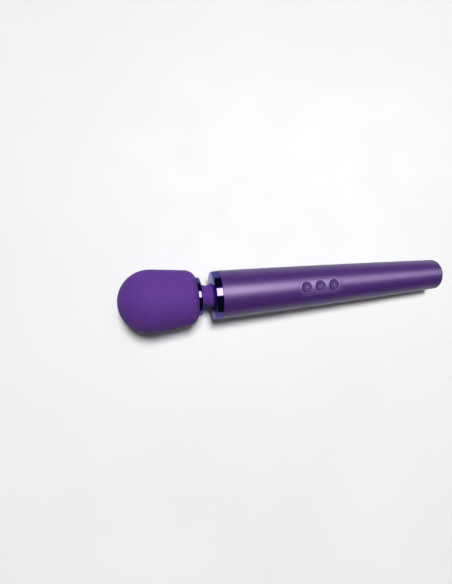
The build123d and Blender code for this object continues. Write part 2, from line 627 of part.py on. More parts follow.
charge_chips = []
for x, y, length, width, height in [(278, 0, 5, 4, 1.4), (288, 3, 4, 3, 1.0), (288, -3, 6, 3, 2.0)]:
    top = CHARGE_BOARD_TOP_Z + height
    charge_chips.append(
        block(x - length / 2, x + length / 2, y - width / 2, y + width / 2, CHARGE_BOARD_TOP_Z, top)
    )
parts["charge_chips"] = Compound(children=charge_chips)

jack = block(304, 318.5, -4.5, 4.5, CHARGE_BOARD_TOP_Z, 4.5) + rod(318, JACK_FACE_X, JACK_NOSE_RADIUS)
jack -= rod(JACK_FACE_X - JACK_BORE_DEPTH, LENGTH, JACK_BORE_RADIUS)
mouth = Pos(JACK_FACE_X - 0.2, 0, 0) * Rot(0, 90, 0) * Cone(JACK_BORE_RADIUS, 1.7, 0.4)
jack -= mouth
parts["charge_jack"] = jack
contacts = [block(303.2, 304, y - 0.6, y + 0.6, CHARGE_BOARD_TOP_Z, 2.5) for y in (-2.5, 0, 2.5)]
parts["jack_contacts"] = Compound(children=contacts)

tail_cap = lathe(
    [(SHELL_END_X, handle_radius(SHELL_END_X)), (LENGTH, handle_radius(LENGTH)),
     (LENGTH, JACK_NOSE_RADIUS + 0.2), (333.5, JACK_NOSE_RADIUS + 0.2), (333.5, 11.9),
     (322, 11.9), (322, inside_radius(322) - LOOSE_GAP),
     (SHELL_END_X, inside_radius(SHELL_END_X) - LOOSE_GAP)],
    {6: 0.4},
)
for size, which in ((TAIL_ROUND, -1), (0.4, 0)):
    end_edges = tail_cap.edges().group_by(Axis.X)[-1].sort_by(SortBy.RADIUS)
    tail_cap = fillet(end_edges[which], size)
parts["tail_cap"] = tail_cap

front_lead_x = CELL_START_X - 1.05
front_lead = wire(
    [(front_lead_x, 1.5, -2), (front_lead_x, 4.5, 4.6), (125, 7, 4.6), (139, 6.8, 5.0),
     (143.5, 6.8, 10), (146.9, 6.8, 10)],
    0.6, [1.2, 5.0, 2.5, 1.5],
)
rear_lead_x = cell_starts[1] + CELL_LENGTH + 0.95
rear_lead = wire(
    [(rear_lead_x, 2.0, -4), (rear_lead_x, 2.6, 3.2), (243.7, 4.6, 5.6), (243.7, 6.8, 10),
     (239.1, 6.8, 10)],
    0.6, [1.2, 1.0, 1.5],
)
parts["battery_leads"] = Compound(children=[front_lead, rear_lead])

charge_leads = []
for side in (-1, 1):
    route = [
        (239.1, side * 1.6, 10), (246, side * 1.6, 10), (256, side * 1.6, 2),
        (258.5, side * 2.2, -2.8), (264, side * 2.6, CHARGE_BOARD_TOP_Z + 0.65),
    ]
    charge_leads.append(wire(route, 0.6, [4.0, 3.0, 2.0]))
parts["charge_leads"] = Compound(children=charge_leads)

# ---- lay it down and write it -------------------------------------------------------------------
# The lowest line touches the ball of the head and the rounded edge of the tail.
TAIL_EDGE_X = LENGTH - TAIL_ROUND
TAIL_EDGE_RADIUS = handle_radius(TAIL_EDGE_X) - TAIL_ROUND
span = TAIL_EDGE_X - HEAD_RADIUS
centres_apart = math.hypot(span, TAIL_EDGE_RADIUS)
tilt = math.asin((HEAD_RADIUS - TAIL_ROUND) / centres_apart) - math.atan2(TAIL_EDGE_RADIUS, span)
lowest_x = HEAD_RADIUS * math.cos(tilt) - HEAD_RADIUS
highest_x = TAIL_EDGE_X * math.cos(tilt) + TAIL_EDGE_RADIUS * math.sin(tilt) + TAIL_ROUND
lift = HEAD_RADIUS + HEAD_RADIUS * math.sin(tilt)
resting = Pos(-(lowest_x + highest_x) / 2, 0, lift) * Rot(0, math.degrees(tilt), 0)

if __name__ == "__main__":
    os.makedirs("parts", exist_ok=True)
    for name, shape in parts.items():
        export_step(resting * shape, f"parts/{name}.step")
    print(len(parts), "nodes; tilt", round(math.degrees(tilt), 3), "degrees")
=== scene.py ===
import json
import math

import bmesh
import bpy
from mathutils import Matrix, Vector


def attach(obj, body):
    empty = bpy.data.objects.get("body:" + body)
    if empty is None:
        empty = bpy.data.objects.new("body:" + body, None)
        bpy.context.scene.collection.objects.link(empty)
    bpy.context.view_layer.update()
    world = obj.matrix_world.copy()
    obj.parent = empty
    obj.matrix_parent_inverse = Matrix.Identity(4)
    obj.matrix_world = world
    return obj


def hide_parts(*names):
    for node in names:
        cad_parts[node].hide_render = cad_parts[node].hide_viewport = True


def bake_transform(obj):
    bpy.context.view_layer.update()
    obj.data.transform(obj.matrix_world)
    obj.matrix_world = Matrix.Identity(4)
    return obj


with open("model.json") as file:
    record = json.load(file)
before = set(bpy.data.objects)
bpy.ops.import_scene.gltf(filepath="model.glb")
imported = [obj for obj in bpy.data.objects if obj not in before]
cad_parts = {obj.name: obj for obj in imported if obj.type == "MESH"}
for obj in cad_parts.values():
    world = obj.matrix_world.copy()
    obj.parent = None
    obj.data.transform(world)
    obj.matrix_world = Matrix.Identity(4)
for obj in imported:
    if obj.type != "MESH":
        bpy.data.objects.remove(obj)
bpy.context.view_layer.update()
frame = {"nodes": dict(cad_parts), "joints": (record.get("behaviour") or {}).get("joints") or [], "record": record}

# Lengths are in millimetres in the wand's own frame until a piece is laid in place: X runs from the
# tip of the head to the tail along the wand's axis, and Z looks out through the buttons.
NECK_X = 82.5
joints = {joint["name"]: joint for joint in frame["joints"]}
forward = Vector(joints["rotor_spin"]["axis"])
upward = Vector(joints["neck_yaw"]["axis"])
sideways = upward.cross(forward)
origin = Vector(joints["neck_pitch"]["pos_m"]) - forward * NECK_X / 1000
turned = Matrix((forward, sideways, upward)).transposed().to_4x4()
LAY = Matrix.Translation(origin) @ turned @ Matrix.Scale(0.001, 4)

HANDLE_X = (96.5, 330.0)
LENGTH = 336.0
COLLAR_RADIUS = 23.6
TAPER_APEX = -298.4  # where the handle's parabolic taper would be flat
TAPER_SPAN = 30820.0
PANEL_X = 193.9
PANEL = (43.6, 13.1)
RECESS = (46.8, 16.0)
PITCH = 14.5  # between button centres
BUTTON_X = {"plus": PANEL_X - PITCH, "pattern": PANEL_X, "minus": PANEL_X + PITCH}
BUTTON_RADIUS = 5.1


def handle_radius(x):
    return COLLAR_RADIUS - ((x - TAPER_APEX) ** 2 - (HANDLE_X[0] - TAPER_APEX) ** 2) / TAPER_SPAN


def handle_top(x, y):
    """Height of the handle's surface over a place in plan."""
    return math.sqrt(handle_radius(x) ** 2 - y * y)


# ---- materials ----------------------------------------------------------------------------------
def material(name, colours, scale, roughness, bump=0.0, stretch=(1, 1, 1), speckle=None, **sockets):
    """A procedural finish: colour and roughness vary over the surface, with a fine relief.

    colours are the two ends of the colour variation, scale is in features per metre, roughness is
    a range, bump is the relief's depth in metres, and speckle adds fine grains of another colour.
    """
    made = bpy.data.materials.new(name)
    made.use_nodes = True
    nodes, link = made.node_tree.nodes, made.node_tree.links.new
    shader = nodes["Principled BSDF"]
    place = nodes.new("ShaderNodeTexCoord")
    mapping = nodes.new("ShaderNodeMapping")
    mapping.inputs["Scale"].default_value = stretch
    link(place.outputs["Object"], mapping.inputs["Vector"])

    def noise(size, detail, shift):
        texture = nodes.new("ShaderNodeTexNoise")
        texture.noise_dimensions = "4D"
        texture.inputs["W"].default_value = shift
        texture.inputs["Scale"].default_value = size
        texture.inputs["Detail"].default_value = detail
        link(mapping.outputs["Vector"], texture.inputs["Vector"])
        return texture.outputs["Fac"]

    def ramp(source, low, high, start=0.3, end=0.7):
        scaled = nodes.new("ShaderNodeValToRGB")
        scaled.color_ramp.elements[0].position = start
        scaled.color_ramp.elements[1].position = end
        scaled.color_ramp.elements[0].color = (*low, 1)
        scaled.color_ramp.elements[1].color = (*high, 1)
        link(source, scaled.inputs["Fac"])
        return scaled.outputs["Color"]

    colour = ramp(noise(scale * 0.12, 3, 1.0), *colours)
    if speckle:
        grains = nodes.new("ShaderNodeTexVoronoi")
        grains.inputs["Scale"].default_value = speckle[1]
        link(mapping.outputs["Vector"], grains.inputs["Vector"])
        mask = nodes.new("ShaderNodeMath")
        mask.operation = "MULTIPLY"
        mask.inputs[1].default_value = speckle[2]
        link(grains.outputs["Color"], mask.inputs[0])
        mix = nodes.new("ShaderNodeMix")
        mix.data_type = "RGBA"
        link(mask.outputs["Value"], mix.inputs["Factor"])
        link(colour, mix.inputs["A"])
        mix.inputs["B"].default_value = (*speckle[0], 1)
        colour = mix.outputs["Result"]
    link(colour, shader.inputs["Base Color"])
    spread = nodes.new("ShaderNodeMapRange")
    spread.inputs["From Min"].default_value = 0.3
    spread.inputs["From Max"].default_value = 0.7
    spread.inputs["To Min"].default_value = roughness[0]
    spread.inputs["To Max"].default_value = roughness[1]
    link(noise(scale * 0.5, 5, 7.0), spread.inputs["Value"])
    link(spread.outputs["Result"], shader.inputs["Roughness"])
    if bump:
        relief = nodes.new("ShaderNodeBump")
        relief.inputs["Distance"].default_value = bump
        relief.inputs["Strength"].default_value = 1.0
        link(noise(scale, 4, 3.0), relief.inputs["Height"])
        link(relief.outputs["Normal"], shader.inputs["Normal"])
    for socket, value in sockets.items():
        shader.inputs[socket.replace("_", " ")].default_value = value
    return made


silicone = material(
    "soft_silicone", ((0.104, 0.036, 0.245), (0.116, 0.042, 0.268)), 1800, (0.60, 0.70), 0.00001,
    Specular_IOR_Level=0.08, Specular_Tint=(0.7, 0.5, 1.0, 1.0),
)
plated = material(
    "plated_indigo", ((0.056, 0.046, 0.235), (0.062, 0.052, 0.26)), 260, (0.05, 0.09),
    Metallic=1.0, Specular_Tint=(0.35, 0.3, 0.6, 1.0), Coat_Weight=0.5, Coat_Roughness=0.04,
    Coat_IOR=1.4,
)
satin = material(
    "satin_purple", ((0.052, 0.0135, 0.140), (0.059, 0.016, 0.155)), 900, (0.35, 0.40), 0.000004,
    speckle=((0.11, 0.05, 0.20), 5200, 0.15), Metallic=0.04,
    Specular_IOR_Level=0.5, Specular_Tint=(1.0, 0.95, 0.95, 1.0),
)
pearl = material(
    "pearl_purple", ((0.105, 0.048, 0.215), (0.118, 0.056, 0.235)), 700, (0.32, 0.38), 0.000003,
    speckle=((0.19, 0.12, 0.31), 5200, 0.18), Metallic=0.04,
    Specular_IOR_Level=0.5, Specular_Tint=(0.95, 0.88, 0.95, 1.0),
)
key_finish = material(
    "key_purple", ((0.030, 0.011, 0.095), (0.036, 0.014, 0.108)), 1500, (0.50, 0.56), 0.00001,
    Specular_IOR_Level=0.25, Specular_Tint=(0.8, 0.65, 1.0, 1.0),
)
icon_ink = material(
    "icon_lilac", ((0.125, 0.070, 0.260), (0.140, 0.080, 0.285)), 3000, (0.48, 0.56), 0.000004,
    Specular_IOR_Level=0.25,
)
INSIDE = {
    "hard_core": material(
        "moulded_core", ((0.055, 0.055, 0.065), (0.07, 0.07, 0.08)), 1500, (0.5, 0.62), 0.00002
    ),
    "black_plastic": material(
        "moulded_black", ((0.022, 0.022, 0.024), (0.032, 0.032, 0.034)), 2500, (0.4, 0.52), 0.00001
    ),
    "steel": material(
        "turned_steel", ((0.52, 0.52, 0.53), (0.60, 0.60, 0.60)), 1200, (0.24, 0.38), 0.000006,
        stretch=(6, 1, 1), Metallic=1.0,
    ),
    "screw_steel": material(
        "blackened_steel", ((0.20, 0.20, 0.21), (0.30, 0.30, 0.31)), 3000, (0.3, 0.45), 0.000006,
        Metallic=1.0,
    ),
    "brass": material(
        "turned_brass", ((0.62, 0.45, 0.20), (0.72, 0.54, 0.27)), 1600, (0.22, 0.36), 0.000005,
        Metallic=1.0,
    ),
    "copper": material(
        "enamelled_copper", ((0.52, 0.22, 0.10), (0.66, 0.32, 0.16)), 5000, (0.25, 0.4), 0.00004,
        stretch=(0.25, 1, 1), Metallic=1.0, Coat_Weight=0.5,
    ),
    "carbon": material(
        "pressed_carbon", ((0.03, 0.03, 0.03), (0.06, 0.06, 0.06)), 4000, (0.6, 0.8), 0.00003
    ),
    "ferrite": material(
        "sintered_ferrite", ((0.07, 0.07, 0.075), (0.12, 0.12, 0.12)), 3500, (0.55, 0.75), 0.00003
    ),
    "cell_can": material(
        "cell_sleeve", ((0.06, 0.22, 0.15), (0.08, 0.27, 0.19)), 700, (0.28, 0.4), 0.000008,
        Coat_Weight=0.4,
    ),
    "circuit_board": material(
        "solder_mask", ((0.012, 0.13, 0.05), (0.03, 0.22, 0.10)), 2600, (0.25, 0.4), 0.00001,
        stretch=(1, 0.3, 1), Coat_Weight=0.6,
    ),
    "mount_rubber": material(
        "mount_rubber", ((0.025, 0.025, 0.025), (0.04, 0.04, 0.04)), 2200, (0.7, 0.85), 0.00003
    ),
    "foam": material(
        "black_foam", ((0.06, 0.06, 0.06), (0.14, 0.14, 0.14)), 3200, (0.85, 0.98), 0.0002,
        Sheen_Weight=0.3,
    ),
    "lead_rubber": material(
        "red_insulation", ((0.30, 0.02, 0.02), (0.38, 0.035, 0.03)), 2000, (0.38, 0.5), 0.00001
    ),
    "nickel": material(
        "nickel_strip", ((0.55, 0.54, 0.50), (0.66, 0.64, 0.60)), 1500, (0.25, 0.4), 0.000006,
        stretch=(5, 1, 1), Metallic=1.0,
    ),
    "silicone": silicone,
    "plated_plastic": plated,
    "satin_shell": satin,
    "pearl_panel": pearl,
    "key_plastic": key_finish,
}
slot_of = {part["node"]: part["material_slot"] for part in frame["record"]["subparts"]}
for name, node in frame["nodes"].items():
    node.data.materials.clear()
    node.data.materials.append(INSIDE[slot_of[name]])


# ---- building tools -----------------------------------------------------------------------------
def piece(name, points, faces, finish, slot, weld=0.002):
    """A smooth-shaded mesh laid in place, its near points welded and its faces turned outwards."""
    mesh = bpy.data.meshes.new(name)
    mesh.from_pydata(points, [], faces)
    work = bmesh.new()
    work.from_mesh(mesh)
    bmesh.ops.remove_doubles(work, verts=work.verts, dist=weld)
    bmesh.ops.recalc_face_normals(work, faces=work.faces)
    work.to_mesh(mesh)
    work.free()
    mesh.transform(LAY)
    mesh.shade_smooth()
    mesh.materials.append(finish)
    made = bpy.data.objects.new(name, mesh)
    bpy.context.scene.collection.objects.link(made)
    return made


def arc(centre, start, end, steps):
    """Points round a centre from start to end, the shorter way."""
    first = math.atan2(start[1] - centre[1], start[0] - centre[0])
    swing = math.atan2(end[1] - centre[1], end[0] - centre[0]) - first
    swing = (swing + math.pi) % (2 * math.pi) - math.pi
    size = math.dist(centre, start)
    turns = [first + swing * k / steps for k in range(steps + 1)]
    return [(centre[0] + size * math.cos(t), centre[1] + size * math.sin(t)) for t in turns]


def rounded(corners, steps=6):
    """A profile through corners (a, b, round): each round is an arc with a point close by each side.

    The close points keep the flats flat under smooth shading.
    """
    out = []
    count = len(corners)
    for i, (a, b, size) in enumerate(corners):
        here = Vector((a, b))
        if not size or i in (0, count - 1):
            out.append((a, b))
            continue
        before = Vector(corners[i - 1][:2]) - here
        after = Vector(corners[i + 1][:2]) - here
        half = before.angle(after) / 2
        reach = size / math.tan(half)
        start, end = here + before.normalized() * reach, here + after.normalized() * reach
        halfway = (before.normalized() + after.normalized()).normalized()
        centre = here + halfway * size / math.sin(half)
        support = min(0.25 * size, 0.15)
        out.append(tuple(start + before.normalized() * support))
        out += arc(centre, start, end, steps)
        out.append(tuple(end + after.normalized() * support))
    return out


def strips(loops, count):
    """Faces that join neighbouring closed loops of count points each."""
    faces = []
    for i in range(loops - 1):
        for k in range(count):
            a, b = i * count + k, i * count + (k + 1) % count
            faces.append((a, b, b + count, a + count))
    return faces


def lathe(name, profile, finish, slot, count=192):
    """A turned piece from a profile of (x, radius) points."""
    points = []
    for x, r in profile:
        for k in range(count):
            turn = 2 * math.pi * k / count
            points.append((x, r * math.cos(turn), r * math.sin(turn)))
    return piece(name, points, strips(len(profile), count), finish, slot)


def upright(name, x, profile, finish, slot, count=96):
    """A turned piece about an upright axis, from a profile of (radius, z) points."""
    points = []
    for r, z in profile:
        for k in range(count):
            turn = 2 * math.pi * k / count
            points.append((x + r * math.cos(turn), r * math.sin(turn), z))
    return piece(name, points, strips(len(profile), count), finish, slot)


def smooth_line(knots, per_span=8):
    """A smooth line through (a, b) knots, as a Catmull-Rom spline."""
    out = []
    ends = [knots[0], *knots, knots[-1]]
    for i in range(1, len(ends) - 2):
        p0, p1, p2, p3 = (Vector(ends[i + shift]) for shift in (-1, 0, 1, 2))
        for k in range(per_span):
            t = k / per_span
            out.append(tuple(
                0.5 * (2 * p1 + (p2 - p0) * t + (2 * p0 - 5 * p1 + 4 * p2 - p3) * t * t
                       + (3 * p1 - p0 - 3 * p2 + p3) * t ** 3)
            ))
    return [*out, tuple(knots[-1])]


# ---- head ---------------------------------------------------------------------------------------
HEAD_RADIUS = 30.0
TAPER = math.radians(5.9)
DOME_STEPS = 48
SIDE_STEPS = 24
SHOULDER_X = 64.5


def head_profile():
    """The silicone cover: a dome, a slight taper, a round shoulder and a soft lip over the ring."""
    out = []
    for k in range(DOME_STEPS + 1):
        turn = (math.pi / 2 + TAPER) * k / DOME_STEPS
        x, r = HEAD_RADIUS - HEAD_RADIUS * math.cos(turn), HEAD_RADIUS * math.sin(turn)
        out.append((x, max(r, 0.0)))
    side = Vector(out[-1])
    edge = Vector((SHOULDER_X, side.y - (SHOULDER_X - side.x) * math.tan(TAPER)))
    for k in range(1, SIDE_STEPS + 1):
        out.append(tuple(side.lerp(edge, k / SIDE_STEPS)))
    end = Vector((74.25, 18.95))
    heading = Vector((math.cos(TAPER), -math.sin(TAPER)))
    inward = Vector((-heading.y, heading.x)) * -1
    chord = end - edge
    radius = chord.length_squared / (2 * chord.dot(inward))
    centre = edge + inward * radius
    out += arc(centre, edge, end, SIDE_STEPS)[1:]
    return out + [(74.32, 18.75), (74.3, 18.5), (74.1, 18.3), (73.4, 18.2), (72.0, 18.2)]


cover = lathe("silicone_head", head_profile(), silicone, "silicone", 256)
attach(cover, "head")
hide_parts("head_cover")

ring = lathe(
    "head_band",
    rounded([(72.5, 17.5, 0), (74.35, 17.5, 0.2), (74.35, 18.85, 0.25), (78.0, 18.85, 1.7),
             (78.0, 12.1, 0.4), (75.5, 12.1, 0)], steps=10),
    plated, "plated_plastic", 256,
)
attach(ring, "head")
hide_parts("head_ring")

# ---- neck: sleeves, spring and leads, each in two halves that meet at the middle of the bend ----
neck_line = smooth_line([
    (73.5, 11.2), (76.0, 11.35), (78.4, 11.55), (79.9, 11.4), (80.9, 11.0), (81.3, 10.72),
    (82.5, 10.22), (83.5, 10.0), (84.8, 10.12), (86.4, 10.6), (88.0, 11.2), (89.4, 11.6),
    (91.2, 11.8),
], 6)
middle = min(range(len(neck_line)), key=lambda i: abs(neck_line[i][0] - NECK_X))
front_sleeve = lathe("neck_front", neck_line[: middle + 1], silicone, "silicone", 160)
rear_sleeve = lathe("neck_rear", neck_line[middle:], silicone, "silicone", 160)


BEND_RINGS = range(76, 91)


def at(x):
    """A place on the wand's axis, in the frame's own metres."""
    return tuple(LAY @ Vector((x, 0, 0)))


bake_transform(front_sleeve)
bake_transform(rear_sleeve)
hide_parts("neck_sleeve")
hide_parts("neck_sleeve")


def cut(work, x, **cleared):
    """Cut a mesh across the wand's axis at x."""
    everything = work.verts[:] + work.edges[:] + work.faces[:]
    bmesh.ops.bisect_plane(work, geom=everything, plane_co=at(x), plane_no=forward, **cleared)


def neck_half(node, side):
    """A copy of an inner part's front or rear half, closed at the cut, with extra rings cut across it through the
    neck.
    """
    work = bmesh.new()
    work.from_mesh(frame["nodes"][node].data)
    work.transform(frame["nodes"][node].matrix_world)
    bmesh.ops.remove_doubles(work, verts=work.verts, dist=1e-6)
    for x in BEND_RINGS:
        cut(work, x)
    cut(work, NECK_X, clear_outer=side == "front", clear_inner=side == "rear")
    bmesh.ops.holes_fill(work, edges=[edge for edge in work.edges if edge.is_boundary])
    bmesh.ops.recalc_face_normals(work, faces=work.faces)
    mesh = bpy.data.meshes.new(f"{node}_{side}")
    work.to_mesh(mesh)
    work.free()
    mesh.shade_smooth()
    mesh.materials.append(INSIDE[slot_of[node]])
    made = bpy.data.objects.new(mesh.name, mesh)
    bpy.context.scene.collection.objects.link(made)
    return made


for node in ("neck_spring", "motor_leads"):
    front, rear = neck_half(node, "front"), neck_half(node, "rear")
    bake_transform(front)
    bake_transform(rear)
    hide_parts(node)
    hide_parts(node)

# ---- handle: collar, shells, tail ---------------------------------------------------------------
collar = lathe(
    "collar_band",
    rounded([(92.5, 12.1, 0), (89.0, 12.1, 0.4), (89.6, 23.2, 1.4), (96.42, 23.58, 0.25),
             (96.42, 21.8, 0)], steps=10),
    plated, "plated_plastic", 256,
)
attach(collar, "handle")
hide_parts("collar_ring")

SEAM = [(0.02, 1.4), (0.02, 0.22), (0.07, 0.07), (0.2, 0.0)]  # how far in from an edge, and depth
PATCH_HALF = 26.0  # the patch that holds the recess: half its length, and half its angle
PATCH_ANGLE = 30
PATCH_STEPS = 32
STEP = 1.875  # degrees between the shells' lengthwise lines
TURN_STEPS = 16  # steps in half the patch's angle
FIRST_X, LAST_X = 97.2, 329.3


def spread(start, end, count):
    return [start + (end - start) * k / count for k in range(count + 1)]


def shell_stations():
    """Places along the handle, each with a depth: the edges turn in to make the fine seams."""
    ends = [(HANDLE_X[0] + near, depth) for near, depth in SEAM]
    places = spread(FIRST_X, PANEL_X - PATCH_HALF, 24)
    places += spread(PANEL_X - PATCH_HALF, PANEL_X + PATCH_HALF, PATCH_STEPS)[1:]
    places += spread(PANEL_X + PATCH_HALF, LAST_X, 32)[1:]
    tail = [(HANDLE_X[1] - near, depth) for near, depth in reversed(SEAM)]
    return ends + [(x, 0.0) for x in places] + tail


def shell_angles(first):
    """Angles about the axis over half a turn, each with a depth, with seams at both sides."""
    seam = [(math.degrees(near / 20), depth) for near, depth in SEAM]
    rows = [(first + near, depth) for near, depth in seam]
    rows += [(first + STEP * k, 0.0) for k in range(1, 96)]
    return rows + [(first + 180 - near, depth) for near, depth in reversed(seam)]


def on_handle(x, angle, depth=0.0):
    """A place on the handle's surface; angles are in degrees about its axis, 90 at the panel."""
    r = handle_radius(x) - depth
    turn = math.radians(angle)
    return x, r * math.cos(turn), r * math.sin(turn)


def shell_grid(first, hole=None):
    """Half of the handle's skin, with a gap of hole degrees each side of the panel if one is asked."""
    stations, rows = shell_stations(), shell_angles(first)
    points = [on_handle(x, a, dx + da) for x, dx in stations for a, da in rows]
    faces = []
    for i in range(len(stations) - 1):
        for j in range(len(rows) - 1):
            x = (stations[i][0] + stations[i + 1][0]) / 2
            angle = (rows[j][0] + rows[j + 1][0]) / 2
            if hole and abs(x - PANEL_X) < PATCH_HALF and abs(angle - 90) < hole:
                continue
            a = i * len(rows) + j
            faces.append((a, a + 1, a + 1 + len(rows), a + len(rows)))
    return points, faces


def stadium_walk(fraction, size):
    """A place on a stadium's spine and the outward direction there, by share of its outline."""
    width = size[1] / 2
    run = size[0] / 2 - width
    quarter = math.pi / 2 * width
    d = fraction * (4 * quarter + 4 * run)
    if d < quarter:
        return run, d / width
    d -= quarter
    if d < 2 * run:
        return run - d, math.pi / 2
    d -= 2 * run
    if d < 2 * quarter:
        return -run, math.pi / 2 + d / width
    d -= 2 * quarter
    if d < 2 * run:
        return -run + d, 3 * math.pi / 2
    d -= 2 * run
    return run, 3 * math.pi / 2 + d / width


def recess_patch():
    """The handle's top round the panel: from the grid's edge in to the recess, its step and wall."""
    near, far = PANEL_X - PATCH_HALF, PANEL_X + PATCH_HALF
    low, high = 90 - PATCH_ANGLE, 90 + PATCH_ANGLE
    border = [(far, 90 - STEP * k) for k in range(TURN_STEPS)]
    border += [(x, low) for x in spread(far, near, PATCH_STEPS)[:-1]]
    border += [(near, low + STEP * k) for k in range(2 * TURN_STEPS)]
    border += [(x, high) for x in spread(near, far, PATCH_STEPS)[:-1]]
    border += [(far, high - STEP * k) for k in range(TURN_STEPS)]
    rim = [on_handle(x, a)[:2] for x, a in border]
    steps = [math.dist(rim[k], rim[(k + 1) % len(rim)]) for k in range(len(rim))]
    total = sum(steps)
    walks = [stadium_walk(sum(steps[:k]) / total, RECESS) for k in range(len(rim))]
    points = []
    outset = 0.6
    loops = 10
    for m in range(loops + 1):
        share = (m / loops) ** 1.4  # loops crowd together towards the recess
        for (x, y), (spine, turn) in zip(rim, walks):
            reach = RECESS[1] / 2 + outset
            px = PANEL_X + spine + reach * math.cos(turn)
            py = reach * math.sin(turn)
            qx, qy = px + (x - px) * (1 - share), py + (y - py) * (1 - share)
            points.append((qx, qy, handle_top(qx, qy)))
    window = (RECESS[0] - PANEL[0]) / 2 - 0.1
    # outwards from the recess's outline, and depth: lip, ledge, and the wall of the panel's window
    edge = [(0.35, 0), (0.2, 0.012), (0.09, 0.06), (0.02, 0.15), (0, 0.26), (-0.04, 0.33),
            (-0.12, 0.36), (-0.3, 0.365), (0.3 - window, 0.365), (0.14 - window, 0.38),
            (0.04 - window, 0.45), (-window, 0.6), (-window, 2.0)]
    for offset, depth in edge:
        for spine, turn in walks:
            reach = RECESS[1] / 2 + offset
            x, y = PANEL_X + spine + reach * math.cos(turn), reach * math.sin(turn)
            points.append((x, y, handle_top(x, y) - depth))
    return points, strips(loops + 1 + len(edge), len(rim))


points, faces = shell_grid(0, hole=PATCH_ANGLE)
patch_points, patch_faces = recess_patch()
faces += [tuple(k + len(points) for k in face) for face in patch_faces]
upper = piece("upper_handle", points + patch_points, faces, satin, "satin_shell")
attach(upper, "handle")
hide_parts("handle_upper_shell")
lower = piece("lower_handle", *shell_grid(180), satin, "satin_shell")
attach(lower, "handle")
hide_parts("handle_lower_shell")

tail = lathe(
    "tail_cover",
    rounded([(330.05, 12.0, 0), (330.05, handle_radius(330), 0.22),
             (LENGTH, handle_radius(LENGTH), 3.0), (LENGTH, 4.1, 0.4), (333.0, 4.1, 0)], steps=12),
    satin, "satin_shell", 224,
)
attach(tail, "handle")
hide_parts("tail_cap")

# ---- button panel -------------------------------------------------------------------------------
HOLE = BUTTON_RADIUS + 0.15
PANEL_DEPTH = 0.70
RINGS = 4  # of faces between a hole's lip and the edge of its cell


def panel_reach(centre, turn, size):
    """How far a ray from a button's centre goes before it meets its cell's edge or the outline."""
    width = size[1] / 2
    run = size[0] / 2 - width
    c, s = math.cos(turn), math.sin(turn)
    offset = centre - PANEL_X
    reaches = []
    if abs(s) > 1e-9:
        flat = width / abs(s)
        if abs(offset + flat * c) <= run:
            reaches.append(flat)
    for end in (-run, run):
        shift = end - offset
        root = (c * shift) ** 2 - shift * shift + width * width
        if root > 0:
            reach = c * shift + math.sqrt(root)
            if reach > 0 and (offset + reach * c - end) * end >= 0:
                reaches.append(reach)
    for side in (-1, 1):
        if side * offset < PITCH / 2 and side * c > 1e-9:
            reaches.append(PITCH / 2 / abs(c))
    return min(reaches)


def panel_mesh():
    """The panel's curved face with three lipped holes, and its rounded outer edge."""
    inner = (PANEL[0] - 0.6, PANEL[1] - 0.6)
    corner = math.degrees(math.atan2(inner[1] / 2, PITCH / 2))
    turns = []
    for low, high in ((0, corner), (corner, 90), (90, 180 - corner), (180 - corner, 180)):
        turns += spread(low, high, 10)[:-1]
    turns += [turn + 180 for turn in turns]
    lips = [(HOLE, 2.0), (HOLE, 0.95), (HOLE + 0.03, 0.82), (HOLE + 0.12, 0.73),
            (HOLE + 0.28, PANEL_DEPTH)]
    points, faces, border = [], [], []
    for x in BUTTON_X.values():
        first = len(points)
        reach = [panel_reach(x, math.radians(turn), inner) for turn in turns]
        for radius, depth in lips:
            for turn in turns:
                px = x + radius * math.cos(math.radians(turn))
                py = radius * math.sin(math.radians(turn))
                points.append((px, py, handle_top(px, py) - depth))
        start = lips[-1][0]
        for m in range(1, RINGS + 1):
            for turn, far in zip(turns, reach):
                r = start + (far - start) * m / RINGS
                px = x + r * math.cos(math.radians(turn))
                py = r * math.sin(math.radians(turn))
                points.append((px, py, handle_top(px, py) - PANEL_DEPTH))
        faces += [tuple(k + first for k in face) for face in strips(len(lips) + RINGS, len(turns))]
        border += points[-len(turns):]
    run = PANEL[0] / 2 - PANEL[1] / 2
    outline = {}
    for x, y, _ in border:
        spine = min(run, max(-run, x - PANEL_X))
        if math.hypot(x - PANEL_X - spine, y) > inner[1] / 2 - 0.01:
            turn = math.atan2(y, x - PANEL_X - spine) % (2 * math.pi)
            key = (round(spine * (1 if y < 0 else -1), 3), round(turn, 4))
            outline[key] = (spine, turn)
    order = sorted(
        outline.values(), key=lambda v: (round(v[1], 4), v[0] * (1 if v[1] > math.pi else -1))
    )
    edge = ((-0.3, PANEL_DEPTH), (-0.12, 0.73), (-0.03, 0.82), (0, 0.95), (0, 2.0))
    for offset, depth in edge:
        for spine, turn in order:
            r = PANEL[1] / 2 + offset
            px, py = PANEL_X + spine + r * math.cos(turn), r * math.sin(turn)
            points.append((px, py, handle_top(px, py) - depth))
    first = len(points) - len(edge) * len(order)
    faces += [tuple(k + first for k in face) for face in strips(len(edge), len(order))]
    return points, faces


panel = piece("key_panel", *panel_mesh(), pearl, "pearl_panel", 0.004)
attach(panel, "handle")
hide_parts("button_panel")


# ---- buttons and their marks --------------------------------------------------------------------
def plate(name, outline, x, top, finish, slot):
    """A thin inlay with a soft edge, from an outline about a button's centre."""
    count = len(outline)
    points = []
    for inset, z in ((0.0, -0.2), (0.0, 0.0), (0.05, 0.03), (0.12, 0.04)):
        for k in range(count):
            before, here, after = (Vector(outline[(k + step) % count]) for step in (-1, 0, 1))
            run = (after - before).normalized()
            px, py = here + Vector((-run.y, run.x)) * inset
            points.append((x + px, py, top + z))
    faces = strips(4, count) + [tuple(range(3 * count, 4 * count))]
    return piece(name, points, faces, finish, slot, 0.0005)


